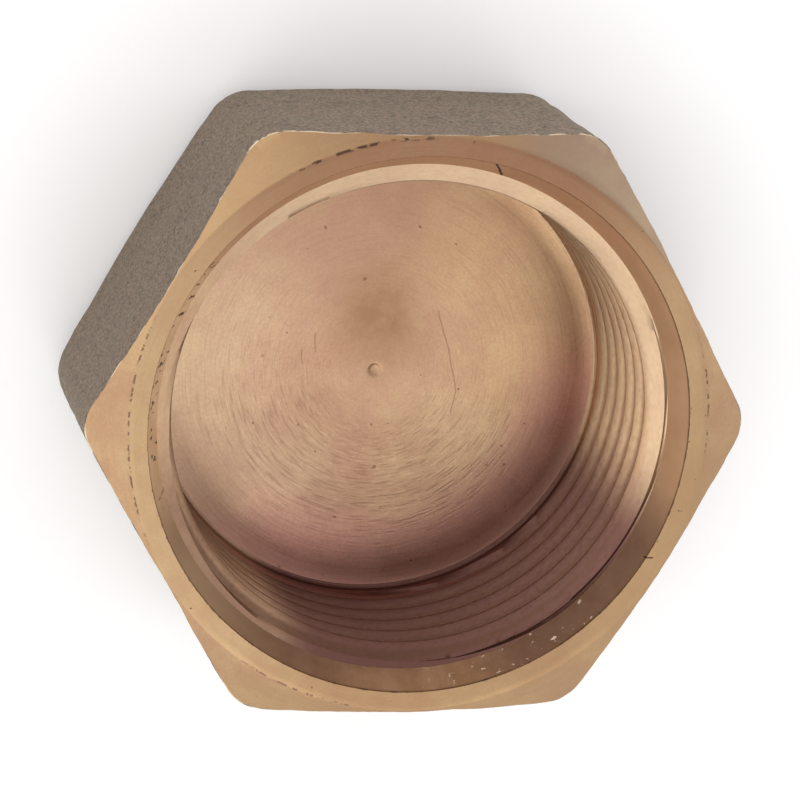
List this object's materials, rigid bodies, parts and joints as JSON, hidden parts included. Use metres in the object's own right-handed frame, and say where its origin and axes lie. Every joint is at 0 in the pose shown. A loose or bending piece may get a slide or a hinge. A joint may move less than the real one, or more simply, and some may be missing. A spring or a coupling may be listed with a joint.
{
  "type": "hexagonal pipe cap",
  "caption": "Brass hexagonal pipe cap with a closed cast end and a turned mouth, countersunk and threaded inside to screw over a male pipe end.",
  "frame": {"origin": "centre of the closed end's flat outer face, which the cap stands on", "axes": "+Z along the thread's axis, out of the mouth; +X towards a corner of the hexagon; +Y square to a pair of wrench flats"},
  "size_m": [0.043, 0.038, 0.0185],
  "materials": {
    "brass": "as-cast matt skin outside, bright turned mouth, thread and floor"
  },
  "bodies": {
    "root": {"cap_body": "brass"}
  },
  "joints": []
}
